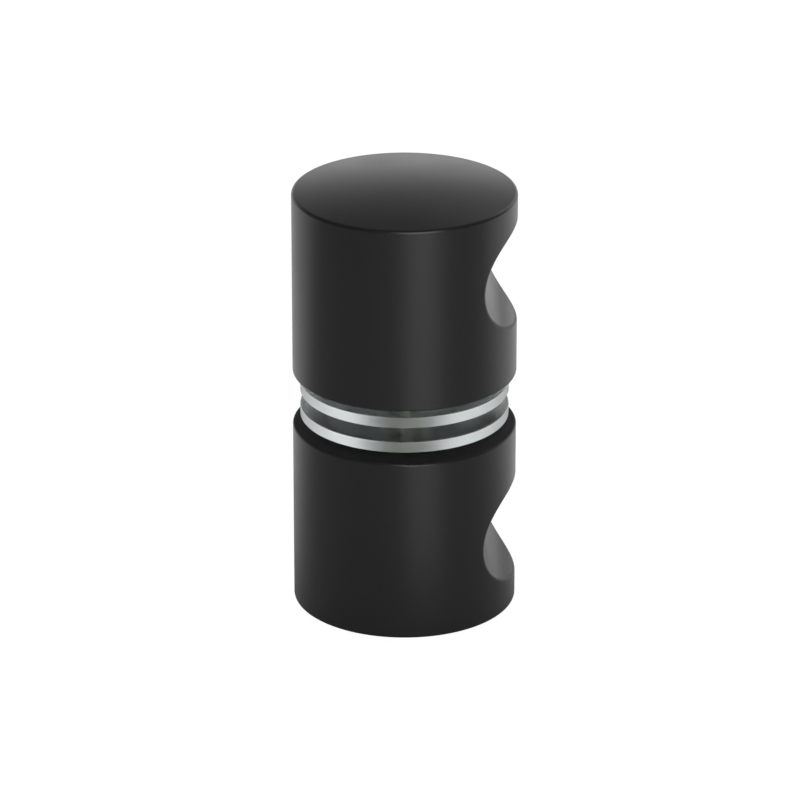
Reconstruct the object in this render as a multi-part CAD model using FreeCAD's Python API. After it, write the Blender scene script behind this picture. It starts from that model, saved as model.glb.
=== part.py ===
import FreeCAD, Part
import os

# A pair of shower door knobs, joined back to back by a stud through the glass.
# Millimetres. +Z runs along the stud towards the outside knob, and the origin
# is on the stud's axis in the middle of the space for the glass.

# Knob
KNOB_DIAMETER = 30.0
KNOB_SIDE_HEIGHT = 25.35
CROWN_RISE = 1.0
RIM_FILLET = 0.4
INNER_EDGE_FILLET = 0.3

# Finger groove across the knob's +X side
GROOVE_RADIUS = 7.8
GROOVE_DEPTH = 4.4
GROOVE_HEIGHT = 14.6
GROOVE_LIP_FILLET = 0.6

# Threaded stud and the tapped hole that takes it
STUD_DIAMETER = 6.0
STUD_END_CHAMFER = 0.7
THREAD_ENGAGEMENT = 11.0
THREAD_CLEARANCE = 0.05
HOLE_RUN_OUT = 1.5
HOLE_MOUTH_CHAMFER = 0.4
DRILL_POINT_HEIGHT = 1.8

# Clear sleeve that lines the hole in the glass
SLEEVE_LENGTH = 7.5
SLEEVE_WALL = 0.8
SLEEVE_BORE_CLEARANCE = 0.2
SLEEVE_END_CHAMFER = 0.1

# Clear washers, one against each side of the glass
WASHER_DIAMETER = 28.0
WASHER_THICKNESS = 1.5
WASHER_SPACING = 2.0
WASHER_BORE_CLEARANCE = 0.05
WASHER_EDGE_FILLET = 0.12

# Sizes that follow from the ones above
KNOB_RADIUS = KNOB_DIAMETER / 2
STUD_RADIUS = STUD_DIAMETER / 2
HOLE_RADIUS = STUD_RADIUS + THREAD_CLEARANCE
HOLE_DEPTH = THREAD_ENGAGEMENT + HOLE_RUN_OUT
STUD_LENGTH = SLEEVE_LENGTH + 2 * THREAD_ENGAGEMENT
SLEEVE_BORE_RADIUS = STUD_RADIUS + SLEEVE_BORE_CLEARANCE
SLEEVE_RADIUS = SLEEVE_BORE_RADIUS + SLEEVE_WALL
WASHER_BORE_RADIUS = SLEEVE_RADIUS + WASHER_BORE_CLEARANCE
GROOVE_AXIS_X = KNOB_RADIUS - GROOVE_DEPTH + GROOVE_RADIUS

ORIGIN = FreeCAD.Vector(0, 0, 0)
AXIS_Y = FreeCAD.Vector(0, 1, 0)
AXIS_Z = FreeCAD.Vector(0, 0, 1)
FULL_TURN = 360.0
FIT_TOLERANCE = 1e-4
LIP_SAMPLES = 5


def revolve(edges):
    """Turn a closed half section, drawn in the XZ plane, into a solid about Z."""
    face = Part.Face(Part.Wire(edges))
    return face.revolve(ORIGIN, AXIS_Z, FULL_TURN)


def line(start, end):
    """A straight edge between two (radius, height) points of a half section."""
    return Part.LineSegment(point(start), point(end)).toShape()


def point(radius_height):
    """The point in the XZ plane of a half section."""
    radius, height = radius_height
    return FreeCAD.Vector(radius, 0, height)


def outline(corners):
    """Straight edges round a closed half section."""
    ends = corners[1:] + corners[:1]
    return [line(start, end) for start, end in zip(corners, ends)]


def circles(solid, radius, height):
    """The round edges about Z that have one radius and lie at one height."""
    def fits(edge):
        if edge.Degenerated or not isinstance(edge.Curve, Part.Circle):
            return False
        centre = edge.Curve.Center
        return max(abs(edge.Curve.Radius - radius), abs(centre.z - height)) < FIT_TOLERANCE
    return [edge for edge in solid.Edges if fits(edge)]


def knob_blank():
    """The turned blank: flat inner face at Z 0, straight side, crowned outer end."""
    rim = (KNOB_RADIUS, KNOB_SIDE_HEIGHT)
    top = (0, KNOB_SIDE_HEIGHT + CROWN_RISE)
    crown_radius = (KNOB_RADIUS ** 2 + CROWN_RISE ** 2) / (2 * CROWN_RISE)
    half_way = KNOB_RADIUS / 2
    half_way_drop = crown_radius - (crown_radius ** 2 - half_way ** 2) ** 0.5
    half_way_point = (half_way, top[1] - half_way_drop)
    crown = Part.Arc(point(rim), point(half_way_point), point(top)).toShape()
    blank = revolve([
        line((0, 0), (KNOB_RADIUS, 0)),
        line((KNOB_RADIUS, 0), rim),
        crown,
        line(top, (0, 0)),
    ])
    blank = blank.makeFillet(RIM_FILLET, circles(blank, KNOB_RADIUS, KNOB_SIDE_HEIGHT))
    return blank.makeFillet(INNER_EDGE_FILLET, circles(blank, KNOB_RADIUS, 0))


def finger_groove():
    """The milling cutter's path: a round bar across the knob's +X side."""
    start = FreeCAD.Vector(GROOVE_AXIS_X, -KNOB_DIAMETER, GROOVE_HEIGHT)
    return Part.makeCylinder(GROOVE_RADIUS, 2 * KNOB_DIAMETER, start, AXIS_Y)


def groove_lip(solid):
    """The edges where the groove breaks out through the knob's side."""
    def on_groove(vertex):
        reach = ((vertex.x - GROOVE_AXIS_X) ** 2 + (vertex.z - GROOVE_HEIGHT) ** 2) ** 0.5
        return abs(reach - GROOVE_RADIUS) < FIT_TOLERANCE

    def on_side(vertex):
        return abs((vertex.x ** 2 + vertex.y ** 2) ** 0.5 - KNOB_RADIUS) < FIT_TOLERANCE

    def is_lip(edge):
        if edge.Degenerated:
            return False
        samples = edge.discretize(LIP_SAMPLES)
        return all(on_groove(sample) and on_side(sample) for sample in samples)
    return [edge for edge in solid.Edges if is_lip(edge)]


def tapped_hole():
    """The blind hole for the stud, with a chamfered mouth and a drill point."""
    mouth_radius = HOLE_RADIUS + HOLE_MOUTH_CHAMFER
    return revolve(outline([
        (0, 0),
        (mouth_radius, 0),
        (HOLE_RADIUS, HOLE_MOUTH_CHAMFER),
        (HOLE_RADIUS, HOLE_DEPTH),
        (0, HOLE_DEPTH + DRILL_POINT_HEIGHT),
    ]))


def knob():
    """One knob, standing on its inner face at Z 0."""
    grooved = knob_blank().cut(finger_groove())
    softened = grooved.makeFillet(GROOVE_LIP_FILLET, groove_lip(grooved))
    return softened.cut(tapped_hole()).Solids[0]


def clamp_stud():
    """The threaded stud, drawn at its full thread diameter with chamfered ends."""
    end = STUD_LENGTH / 2
    shoulder = end - STUD_END_CHAMFER
    tip_radius = STUD_RADIUS - STUD_END_CHAMFER
    return revolve(outline([
        (0, -end),
        (tip_radius, -end),
        (STUD_RADIUS, -shoulder),
        (STUD_RADIUS, shoulder),
        (tip_radius, end),
        (0, end),
    ]))


def hole_sleeve():
    """The clear tube that spaces the knobs and keeps the stud off the glass."""
    end = SLEEVE_LENGTH / 2
    shoulder = end - SLEEVE_END_CHAMFER
    end_radius = SLEEVE_RADIUS - SLEEVE_END_CHAMFER
    return revolve(outline([
        (SLEEVE_BORE_RADIUS, -end),
        (end_radius, -end),
        (SLEEVE_RADIUS, -shoulder),
        (SLEEVE_RADIUS, shoulder),
        (end_radius, end),
        (SLEEVE_BORE_RADIUS, end),
    ]))


def washer():
    """One clear washer, with its glass side at Z 0 and slightly eased outer edges."""
    radius = WASHER_DIAMETER / 2
    ring = revolve(outline([
        (WASHER_BORE_RADIUS, 0),
        (radius, 0),
        (radius, WASHER_THICKNESS),
        (WASHER_BORE_RADIUS, WASHER_THICKNESS),
    ]))
    outer_edges = circles(ring, radius, 0) + circles(ring, radius, WASHER_THICKNESS)
    return ring.makeFillet(WASHER_EDGE_FILLET, outer_edges).Solids[0]


def on_both_sides(name, solid, distance):
    """Set a solid at a distance from the glass on the outside, and mirrored inside."""
    outside = solid.translated(FreeCAD.Vector(0, 0, distance))
    return {f"outside_{name}": outside, f"inside_{name}": outside.mirror(ORIGIN, AXIS_Z)}


def main():
    """Build every piece and write one file for each."""
    parts = {"clamp_stud": clamp_stud(), "hole_sleeve": hole_sleeve()}
    parts.update(on_both_sides("knob", knob(), SLEEVE_LENGTH / 2))
    parts.update(on_both_sides("washer", washer(), WASHER_SPACING / 2))
    os.makedirs("parts", exist_ok=True)
    for node, shape in parts.items():
        shape.exportStep(f"parts/{node}.step")
        box = shape.optimalBoundingBox(False)
        print(node, shape.ShapeType, len(shape.Solids), shape.isValid(), f"{shape.Volume:.1f} mm3",
              f"{box.XLength:.2f} x {box.YLength:.2f} x {box.ZLength:.2f} mm")


main()
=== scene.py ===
"""A matt black shower door knob set, back to back on a stud with clear washers, in a plain studio."""
import logging
import math
from dataclasses import dataclass, field
from enum import Enum
from typing import Any

import bmesh
import bpy
from mathutils import Matrix, Vector


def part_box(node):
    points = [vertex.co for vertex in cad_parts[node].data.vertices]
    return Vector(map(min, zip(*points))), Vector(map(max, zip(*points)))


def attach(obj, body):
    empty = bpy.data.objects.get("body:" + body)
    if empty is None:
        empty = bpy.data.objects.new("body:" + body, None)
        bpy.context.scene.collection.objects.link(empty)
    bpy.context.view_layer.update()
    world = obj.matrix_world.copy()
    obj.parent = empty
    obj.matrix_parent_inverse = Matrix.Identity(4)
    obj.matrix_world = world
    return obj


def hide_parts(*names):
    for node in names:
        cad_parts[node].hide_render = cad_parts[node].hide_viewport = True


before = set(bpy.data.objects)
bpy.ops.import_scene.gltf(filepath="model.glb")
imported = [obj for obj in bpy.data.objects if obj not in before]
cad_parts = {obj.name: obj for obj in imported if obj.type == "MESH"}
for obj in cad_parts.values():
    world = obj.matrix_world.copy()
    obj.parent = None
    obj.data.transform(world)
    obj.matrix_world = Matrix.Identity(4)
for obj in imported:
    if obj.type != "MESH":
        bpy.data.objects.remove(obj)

MM = 0.001
BODY = "root"
WHITE = (1.0, 1.0, 1.0, 1.0)
SMOOTH = {"interpolation_type": "SMOOTHSTEP"}
log = logging.getLogger("knob_set")


class GlassSide(Enum):
    """The two sides of the glass door that the set clamps on."""

    OUTSIDE = "outside"
    INSIDE = "inside"

    def node(self, piece: str) -> str:
        """The name of the CAD node for a piece on this side."""
        return f"{self.value}_{piece}"


def linear(hex_colour: str) -> tuple[float, float, float, float]:
    """Turn an sRGB hex colour into linear values for a shader.

    Args:
        hex_colour: The colour as "#rrggbb".

    Returns:
        Linear red, green, blue and an alpha of 1.
    """
    channels = [int(hex_colour[i:i + 2], 16) / 255 for i in (1, 3, 5)]
    return (*[c / 12.92 if c <= 0.04045 else ((c + 0.055) / 1.055) ** 2.4 for c in channels], 1.0)


def add_node(tree: bpy.types.NodeTree, kind: str, settings: dict[str, Any] | None = None,
             **inputs: Any) -> bpy.types.Node:
    """Add a shader node, set its properties and fill or link its inputs.

    Args:
        tree: The node tree that takes the node.
        kind: The node's type name.
        settings: Properties of the node itself, such as operation.
        **inputs: Values or output sockets by input name, with _ for a space, or iN for input number N.

    Returns:
        The new node.
    """
    node = tree.nodes.new(kind)
    for name, value in (settings or {}).items():
        setattr(node, name, value)
    for name, value in inputs.items():
        by_number = name[0] == "i" and name[1:].isdigit()
        socket = node.inputs[int(name[1:])] if by_number else node.inputs[name.replace("_", " ")]
        if isinstance(value, bpy.types.NodeSocket):
            tree.links.new(value, socket)
        else:
            socket.default_value = value
    return node


def new_material(name: str) -> tuple[bpy.types.Material, bpy.types.NodeTree]:
    """Make an empty node material.

    Args:
        name: The material's name.

    Returns:
        The material and its node tree, with no nodes in it.
    """
    material = bpy.data.materials.new(name)
    material.use_nodes = True
    material.node_tree.nodes.clear()
    return material, material.node_tree


def dress(piece: bpy.types.Object, material: bpy.types.Material) -> None:
    """Give a piece one material over its whole surface."""
    piece.data.materials.clear()
    piece.data.materials.append(material)


@dataclass(frozen=True)
class CloudyGloss:
    """A gloss that drifts a little over the surface in soft clouds."""

    roughness: float
    swing: float
    cloud_size_mm: float
    detail: float

    def socket(self, tree: bpy.types.NodeTree, place: bpy.types.NodeSocket) -> bpy.types.NodeSocket:
        """Add the clouds to a material.

        Args:
            tree: The material's node tree.
            place: The socket that gives the place on the piece.

        Returns:
            The socket that gives the roughness.
        """
        clouds = add_node(tree, "ShaderNodeTexNoise", Vector=place, Detail=self.detail,
                          Scale=1 / (self.cloud_size_mm * MM))
        gloss = add_node(tree, "ShaderNodeMapRange", Value=clouds.outputs["Fac"],
                         To_Min=self.roughness - self.swing, To_Max=self.roughness + self.swing)
        return gloss.outputs["Result"]


@dataclass(frozen=True)
class MattBlackCoat:
    """Baked matt black coat on turned metal: a soft sheen with no mirror, and a grain too fine to count."""

    colour: str = "#101010"
    gloss: CloudyGloss = CloudyGloss(roughness=0.32, swing=0.05, cloud_size_mm=9.0, detail=2.0)
    dull_roughness: float = 0.8
    dull_height_mm: tuple[float, float] = (0.03, 0.1)
    dull_radius_mm: tuple[float, float] = (10.0, 11.0)
    grain_size_mm: float = 0.35
    grain_height_mm: float = 0.004
    grain_detail: float = 3.0

    def material(self) -> bpy.types.Material:
        """Build the coat.

        Returns:
            The material.
        """
        material, tree = new_material("matt_black_baked_coat")
        place = add_node(tree, "ShaderNodeTexCoord").outputs["Object"]
        # A sprayed coat dries unevenly, so its gloss is cloudy
        gloss = self.gloss.socket(tree, place)
        # The face towards the glass has dry, dull overspray round a smoother middle
        parts = add_node(tree, "ShaderNodeSeparateXYZ", Vector=place)
        away = add_node(tree, "ShaderNodeMath", {"operation": "ABSOLUTE"}, i0=parts.outputs["Z"])
        level = add_node(tree, "ShaderNodeCombineXYZ", X=parts.outputs["X"], Y=parts.outputs["Y"])
        radius = add_node(tree, "ShaderNodeVectorMath", {"operation": "LENGTH"}, i0=level.outputs[0])
        smooth, dry = [edge * MM for edge in self.dull_radius_mm]
        ring = add_node(tree, "ShaderNodeMapRange", Value=radius.outputs["Value"], From_Min=smooth,
                        From_Max=dry, To_Min=gloss, To_Max=self.dull_roughness)
        inner_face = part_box(GlassSide.OUTSIDE.node("knob"))[0].z
        dull, glossy = [inner_face + reach * MM for reach in self.dull_height_mm]
        sheen = add_node(tree, "ShaderNodeMapRange", Value=away.outputs[0], From_Min=dull, From_Max=glossy,
                         To_Min=ring.outputs["Result"], To_Max=gloss)
        # The coat's grain is finer than this on the real knob, and is drawn coarser so that it shows
        grain = add_node(tree, "ShaderNodeTexNoise", Vector=place, Detail=self.grain_detail,
                         Scale=1 / (self.grain_size_mm * MM))
        bump = add_node(tree, "ShaderNodeBump", Height=grain.outputs["Fac"],
                        Distance=self.grain_height_mm * MM)
        shader = add_node(tree, "ShaderNodeBsdfPrincipled", Base_Color=linear(self.colour),
                          Roughness=sheen.outputs["Result"], Normal=bump.outputs["Normal"])
        add_node(tree, "ShaderNodeOutputMaterial", Surface=shader.outputs["BSDF"])
        return material


@dataclass(frozen=True)
class ClearPlastic:
    """Clear plastic with a faint cool tint: smooth faces, and edges that are frosted where they were cut.

    As it stands it is die-cut vinyl sheet, whose frosted edges glow as bright bands.
    """

    name: str = "clear_vinyl_die_cut"
    colour: str = "#e6ebeb"
    face_roughness: float = 0.13
    edge_roughness: float = 0.48
    edge_to_face: tuple[float, float] = (0.4, 0.9)
    ior: float = 1.52
    ripple_size_mm: float = 2.5
    ripple_height_mm: float = 0.01
    ripple_detail: float = 1.0

    def material(self) -> bpy.types.Material:
        """Build the clear plastic.

        Returns:
            The material.
        """
        material, tree = new_material(self.name)
        coordinates = add_node(tree, "ShaderNodeTexCoord")
        # Slight flow ripples that a plastic sheet keeps
        ripple = add_node(tree, "ShaderNodeTexNoise", Vector=coordinates.outputs["Object"],
                          Detail=self.ripple_detail, Scale=1 / (self.ripple_size_mm * MM))
        bump = add_node(tree, "ShaderNodeBump", Height=ripple.outputs["Fac"],
                        Distance=self.ripple_height_mm * MM)
        # Faces square to the stud are the smooth sheet, and the edges round them are cut
        facing = add_node(tree, "ShaderNodeSeparateXYZ", Vector=coordinates.outputs["Normal"]).outputs["Z"]
        square = add_node(tree, "ShaderNodeMath", {"operation": "ABSOLUTE"}, i0=facing)
        edge, face = self.edge_to_face
        gloss = add_node(tree, "ShaderNodeMapRange", Value=square.outputs[0], From_Min=edge, From_Max=face,
                         To_Min=self.edge_roughness, To_Max=self.face_roughness)
        shader = add_node(tree, "ShaderNodeBsdfPrincipled", Base_Color=linear(self.colour),
                          Roughness=gloss.outputs["Result"], IOR=self.ior, Transmission_Weight=1.0,
                          Normal=bump.outputs["Normal"])
        add_node(tree, "ShaderNodeOutputMaterial", Surface=shader.outputs["BSDF"])
        return material


@dataclass(frozen=True)
class PlatedSteel:
    """Zinc plated steel with a rolled thread: bright, slightly warm and a little uneven."""

    colour: str = "#f0e9db"
    gloss: CloudyGloss = CloudyGloss(roughness=0.14, swing=0.05, cloud_size_mm=1.2, detail=3.0)

    def material(self) -> bpy.types.Material:
        """Build the plated steel.

        Returns:
            The material.
        """
        material, tree = new_material("zinc_plated_steel_rolled")
        place = add_node(tree, "ShaderNodeTexCoord").outputs["Object"]
        shader = add_node(tree, "ShaderNodeBsdfPrincipled", Base_Color=linear(self.colour), Metallic=1.0,
                          Roughness=self.gloss.socket(tree, place))
        add_node(tree, "ShaderNodeOutputMaterial", Surface=shader.outputs["BSDF"])
        return material


@dataclass
class Knob:
    """One turned knob with its crowned end and finger groove."""

    side: GlassSide
    coat: bpy.types.Material

    def build(self) -> bpy.types.Object:
        """Dress the knob's own solid, which has the true form.

        Returns:
            The knob.
        """
        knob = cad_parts[self.side.node("knob")]
        dress(knob, self.coat)
        return knob


@dataclass
class ClearSeat:
    """The clear pieces that keep metal off the glass: a washer for each side and the hole's sleeve."""

    vinyl: bpy.types.Material
    sleeve_plastic: bpy.types.Material

    def build(self) -> list[bpy.types.Object]:
        """Dress the washers and the sleeve.

        Returns:
            The clear pieces.
        """
        washers = [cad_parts[side.node("washer")] for side in GlassSide]
        for washer in washers:
            dress(washer, self.vinyl)
        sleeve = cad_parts["hole_sleeve"]
        dress(sleeve, self.sleeve_plastic)
        return [*washers, sleeve]


@dataclass
class ClampStud:
    """The stud that joins the knobs, with its thread cut as a true helix."""

    steel: bpy.types.Material
    pitch_mm: float = 1.0
    thread_depth_mm: float = 0.61
    crest_share: float = 0.125
    root_share: float = 0.25
    end_chamfer_mm: float = 0.7
    steps_per_turn: int = 48
    spare_turns: int = 2
    sharp_edge_deg: float = 25.0
    radius: float = field(init=False)
    end: float = field(init=False)

    def __post_init__(self) -> None:
        """Take the radius and half the length from the stud's solid."""
        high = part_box("clamp_stud")[1]
        self.radius = high.x
        self.end = high.z

    def build(self) -> bpy.types.Object:
        """Cut the thread on a bar of the stud's own size.

        Returns:
            The threaded stud, standing for the plain solid.
        """
        mesh = bpy.data.meshes.new("clamp_stud_thread")
        form = bmesh.new()
        self._wind(form)
        self._cut_ends(form)
        form.to_mesh(mesh)
        form.free()
        mesh.shade_smooth()
        mesh.set_sharp_from_angle(angle=math.radians(self.sharp_edge_deg))
        stud = bpy.data.objects.new("threaded_stud", mesh)
        bpy.context.scene.collection.objects.link(stud)
        dress(stud, self.steel)
        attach(stud, BODY)
        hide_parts("clamp_stud")
        return stud

    def _section(self) -> list[tuple[float, float]]:
        """One pitch of the thread's section.

        Returns:
            The corners, each as a share of the pitch and a share of the thread's depth.
        """
        flank = (1 - self.crest_share - self.root_share) / 2
        return [(0.0, 0.0), (self.crest_share, 0.0), (self.crest_share + flank, 1.0), (1 - flank, 1.0)]

    def _wind(self, form: bmesh.types.BMesh) -> None:
        """Wind the thread's section up the stud, from below its lower end to above its upper one.

        Args:
            form: The mesh that takes the thread.
        """
        pitch = self.pitch_mm * MM
        section = self._section()
        bottom = -self.end - self.spare_turns * pitch
        turns = math.ceil(2 * self.end / pitch) + 2 * self.spare_turns
        columns = []
        for i in range(self.steps_per_turn):
            share_of_turn = i / self.steps_per_turn
            angle = 2 * math.pi * share_of_turn
            column = []
            for turn in range(turns):
                for rise, depth in section:
                    z = bottom + (turn + rise + share_of_turn) * pitch
                    r = min(self.radius - depth * self.thread_depth_mm * MM, self._end_radius(z))
                    column.append(form.verts.new((r * math.cos(angle), r * math.sin(angle), z)))
            columns.append(column)
        # After a full turn the first column comes round again, a pitch higher
        columns.append(columns[0][len(section):])
        for left, right in zip(columns, columns[1:]):
            for corners in zip(left, right, right[1:], left[1:]):
                form.faces.new(corners)

    def _cut_ends(self, form: bmesh.types.BMesh) -> None:
        """Cut the wound thread square at both ends of the stud and close it.

        Args:
            form: The mesh that holds the thread.
        """
        for side in (-1, 1):
            everything = form.verts[:] + form.edges[:] + form.faces[:]
            cut = bmesh.ops.bisect_plane(form, geom=everything, plane_co=(0, 0, side * self.end),
                                         plane_no=(0, 0, side), clear_outer=True)
            rim = [piece for piece in cut["geom_cut"] if isinstance(piece, bmesh.types.BMEdge)]
            bmesh.ops.edgeloop_fill(form, edges=rim)
        bmesh.ops.recalc_face_normals(form, faces=form.faces[:])

    def _end_radius(self, z: float) -> float:
        """The radius that the chamfer at the nearer end leaves."""
        return self.radius - self.end_chamfer_mm * MM + max(self.end - abs(z), 0.0)


@dataclass(frozen=True)
class SoftBox:
    """A soft box or card that faces the set, and shows in the pieces' sheen unless in_sheen is off."""

    name: str
    azimuth_deg: float
    elevation_deg: float
    distance_mm: float
    width_mm: float
    height_mm: float
    brightness: float
    in_sheen: bool = True

    def build(self) -> None:
        """Hang the soft box at its angle to the camera's side, facing the set."""
        azimuth = math.radians(self.azimuth_deg)
        elevation = math.radians(self.elevation_deg)
        level = math.cos(elevation)
        towards = Vector((math.sin(azimuth) * level, -math.cos(azimuth) * level, math.sin(elevation)))
        light = bpy.data.lights.new(self.name, "AREA")
        light.shape = "RECTANGLE"
        light.size = self.width_mm * MM
        light.size_y = self.height_mm * MM
        light.energy = self.brightness * math.pi * light.size * light.size_y
        lamp = bpy.data.objects.new(self.name, light)
        lamp.location = towards * self.distance_mm * MM
        lamp.rotation_euler = towards.to_track_quat("Z", "Y").to_euler()
        lamp.visible_camera = False
        lamp.visible_glossy = self.in_sheen
        bpy.context.scene.collection.objects.link(lamp)


@dataclass
class Studio:
    """A paper floor with painted shade in front and a painted pool of light, soft boxes round the set, and
    the camera at the photograph's angle.
    """

    camera_distance_mm: float = 700.0
    camera_elevation_deg: float = 22.9
    lens_mm: float = 234.7
    aim_left_mm: float = 0.6
    aim_below_mm: float = 0.77
    clip_mm: tuple[float, float] = (10.0, 20000.0)
    floor_radius_mm: float = 1500.0
    floor_corners: int = 64
    # The floor's grey front is painted shade, drawn darker where less light falls in front of the set
    floor_front_painted_shade_colour: str = "#a8a8a8"
    floor_back_colour: str = "#ececec"
    floor_blend_mm: tuple[float, float] = (-12.0, 48.0)
    floor_blend_turn_deg: float = 8.0
    # A pool of light painted on the floor in front, which the coat mirrors as the soft highlight on the
    # knobs
    painted_light_wedge_colour: str = "#fafafa"
    painted_light_wedge_azimuth_deg: float = 17.5
    painted_light_wedge_spread_deg: tuple[float, float] = (8.0, 22.0)
    painted_light_wedge_start_mm: tuple[float, float] = (22.0, 60.0)
    floor_white_share: float = 0.94
    floor_white: float = 1.05
    world_white: float = 1.0
    ambient: float = 0.145
    all_bounces: int = 32
    sheen_bounces: int = 24
    clear_bounces: int = 32
    # Each has its name, azimuth, elevation, distance, width, height and brightness
    soft_boxes: tuple[SoftBox, ...] = (
        SoftBox("front_soft_box", 16.0, 12.0, 500.0, 300.0, 280.0, 2.5),
        SoftBox("upper_front_box", 14.0, 36.0, 500.0, 280.0, 160.0, 3.7),
        SoftBox("low_back_card", 180.0, 3.0, 300.0, 900.0, 88.0, 0.24),
        SoftBox("back_card", 180.0, 14.6, 312.0, 900.0, 48.0, 2.2),
        SoftBox("right_back_card", 140.0, 34.4, 363.0, 300.0, 157.0, 0.85),
        SoftBox("overhead_soft_box", 0.0, 90.0, 700.0, 1400.0, 1400.0, 1.12, in_sheen=False),
    )

    def build(self) -> None:
        """Set up the floor, world, lights and camera."""
        self._floor()
        self._world()
        for box in self.soft_boxes:
            box.build()
        self._camera()
        scene = bpy.context.scene
        scene.view_settings.view_transform = "Standard"
        # Light runs round inside the clear pieces many times before it leaves
        scene.cycles.max_bounces = self.all_bounces
        scene.cycles.glossy_bounces = self.sheen_bounces
        scene.cycles.transmission_bounces = self.clear_bounces

    def _seen(self, tree: bpy.types.NodeTree) -> bpy.types.NodeSocket:
        """A 1 for rays from the eye or out of a clear piece, and 0 for other rays.

        The coat and the stud mirror the floor and the soft boxes instead, so the knobs stay dark in front.

        Args:
            tree: The node tree of the surface or the world.

        Returns:
            The socket that gives the 1 or 0.
        """
        path = add_node(tree, "ShaderNodeLightPath")
        return add_node(tree, "ShaderNodeMath", {"operation": "MAXIMUM"}, i0=path.outputs["Is Camera Ray"],
                        i1=path.outputs["Is Transmission Ray"]).outputs[0]

    def _floor(self) -> None:
        """Lay the floor, which looks white and keeps a little of the shadow, under the lower knob."""
        mesh = bpy.data.meshes.new("floor")
        form = bmesh.new()
        bmesh.ops.create_circle(form, cap_ends=True, segments=self.floor_corners,
                                radius=self.floor_radius_mm * MM,
                                matrix=Matrix.Translation((0, 0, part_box("inside_knob")[0].z)))
        form.to_mesh(mesh)
        form.free()
        # The paper's colour holds painted shade in front and a painted pool of light, which the coat
        # mirrors
        material, tree = new_material("floor_matt_painted_shade_and_light")
        amount = add_node(tree, "ShaderNodeMath", {"operation": "MULTIPLY"}, i0=self._seen(tree),
                          i1=self.floor_white_share)
        matt = add_node(tree, "ShaderNodeBsdfDiffuse", Color=self._painted_floor_colour(tree))
        white = add_node(tree, "ShaderNodeEmission", Color=WHITE, Strength=self.floor_white)
        mix = add_node(tree, "ShaderNodeMixShader", i0=amount.outputs[0], i1=matt.outputs[0],
                       i2=white.outputs[0])
        add_node(tree, "ShaderNodeOutputMaterial", Surface=mix.outputs[0])
        floor = bpy.data.objects.new("floor", mesh)
        bpy.context.scene.collection.objects.link(floor)
        dress(floor, material)

    def _painted_floor_colour(self, tree: bpy.types.NodeTree) -> bpy.types.NodeSocket:
        """Paper that runs from grey painted shade in front to nearly white behind the set, with a painted
        pool of light as a pale wedge in front.

        Args:
            tree: The floor's node tree.

        Returns:
            The socket that gives the colour.
        """
        place = add_node(tree, "ShaderNodeTexCoord").outputs["Object"]
        turned = add_node(tree, "ShaderNodeVectorRotate", {"rotation_type": "Z_AXIS"}, Vector=place,
                          Angle=math.radians(self.floor_blend_turn_deg))
        depth = add_node(tree, "ShaderNodeSeparateXYZ", Vector=turned.outputs[0]).outputs["Y"]
        # The grey front is painted shade: the floor in front of the set is drawn darker in place of less
        # light there
        near, far = [edge * MM for edge in self.floor_blend_mm]
        blend = add_node(tree, "ShaderNodeMapRange", SMOOTH, Value=depth, From_Min=near, From_Max=far)
        paper = add_node(tree, "ShaderNodeMix", {"data_type": "RGBA"}, i0=blend.outputs["Result"],
                         i6=linear(self.floor_front_painted_shade_colour), i7=linear(self.floor_back_colour))
        # A pool of light painted on the floor as a pale wedge: the coat mirrors it as the soft highlight
        # down the front of the knobs
        aligned = add_node(tree, "ShaderNodeVectorRotate", {"rotation_type": "Z_AXIS"}, Vector=place,
                           Angle=-math.radians(self.painted_light_wedge_azimuth_deg))
        sides = add_node(tree, "ShaderNodeSeparateXYZ", Vector=aligned.outputs[0])
        across = add_node(tree, "ShaderNodeMath", {"operation": "ABSOLUTE"}, i0=sides.outputs["X"])
        ahead = add_node(tree, "ShaderNodeMath", {"operation": "MULTIPLY"}, i0=sides.outputs["Y"], i1=-1.0)
        spread = add_node(tree, "ShaderNodeMath", {"operation": "ARCTAN2"}, i0=across.outputs[0],
                          i1=ahead.outputs[0])
        full, none = [math.radians(angle) for angle in self.painted_light_wedge_spread_deg]
        inside = add_node(tree, "ShaderNodeMapRange", SMOOTH, Value=spread.outputs[0], From_Min=none,
                          From_Max=full)
        start, reached = [distance * MM for distance in self.painted_light_wedge_start_mm]
        begun = add_node(tree, "ShaderNodeMapRange", SMOOTH, Value=ahead.outputs[0], From_Min=start,
                         From_Max=reached)
        wedge = add_node(tree, "ShaderNodeMath", {"operation": "MULTIPLY"}, i0=inside.outputs["Result"],
                         i1=begun.outputs["Result"])
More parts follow.
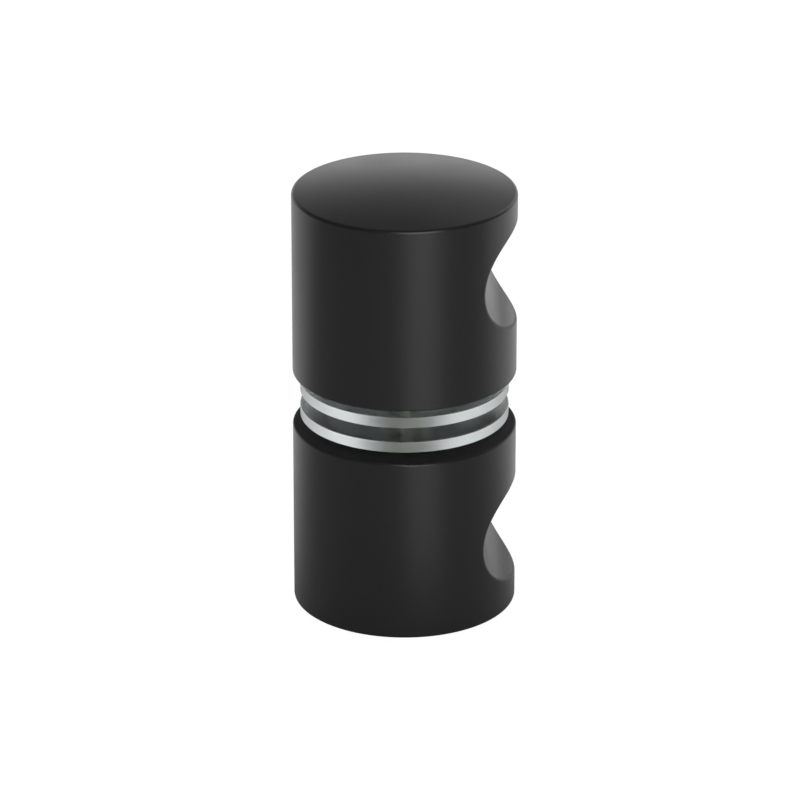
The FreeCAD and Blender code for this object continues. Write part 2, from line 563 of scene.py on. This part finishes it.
        # The painted pool of light is mixed over the paper
        lit = add_node(tree, "ShaderNodeMix", {"data_type": "RGBA"}, i0=wedge.outputs[0],
                       i6=paper.outputs[2], i7=linear(self.painted_light_wedge_colour))
        return lit.outputs[2]

    def _world(self) -> None:
        """White to the eye and through clear pieces, and a weak even light elsewhere."""
        world = bpy.data.worlds.new("studio")
        bpy.context.scene.world = world
        world.use_nodes = True
        tree = world.node_tree
        tree.nodes.clear()
        soft = add_node(tree, "ShaderNodeBackground", Color=WHITE, Strength=self.ambient)
        white = add_node(tree, "ShaderNodeBackground", Color=WHITE, Strength=self.world_white)
        mix = add_node(tree, "ShaderNodeMixShader", i0=self._seen(tree), i1=soft.outputs[0],
                       i2=white.outputs[0])
        add_node(tree, "ShaderNodeOutputWorld", Surface=mix.outputs[0])

    def _camera(self) -> None:
        """Set the camera at the photograph's height and distance."""
        elevation = math.radians(self.camera_elevation_deg)
        back = Vector((0, -math.cos(elevation), math.sin(elevation)))
        up = Vector((0, math.sin(elevation), math.cos(elevation)))
        aim = Vector((-self.aim_left_mm * MM, 0, 0)) - up * self.aim_below_mm * MM
        data = bpy.data.cameras.new("camera")
        data.lens = self.lens_mm
        data.clip_start, data.clip_end = [distance * MM for distance in self.clip_mm]
        camera = bpy.data.objects.new("camera", data)
        camera.location = aim + back * self.camera_distance_mm * MM
        camera.rotation_euler = back.to_track_quat("Z", "Y").to_euler()
        bpy.context.scene.collection.objects.link(camera)
        bpy.context.scene.camera = camera


def main() -> None:
    """Build the set piece by piece and light it."""
    logging.basicConfig(level=logging.INFO, format="%(name)s: %(message)s")
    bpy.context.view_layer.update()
    coat = MattBlackCoat().material()
    for side in GlassSide:
        knob = Knob(side, coat).build()
        log.info("dressed %s", knob.name)
    vinyl = ClearPlastic().material()
    # The sleeve is extruded acrylic tube, with a glossy wall that lets the stud show
    acrylic = ClearPlastic("clear_acrylic_extruded", edge_roughness=0.03).material()
    for piece in ClearSeat(vinyl, acrylic).build():
        log.info("dressed %s", piece.name)
    stud = ClampStud(PlatedSteel().material()).build()
    log.info("cut the thread on %s", stud.name)
    Studio().build()
    log.info("set up the studio")


if __name__ == "__main__":
    main()
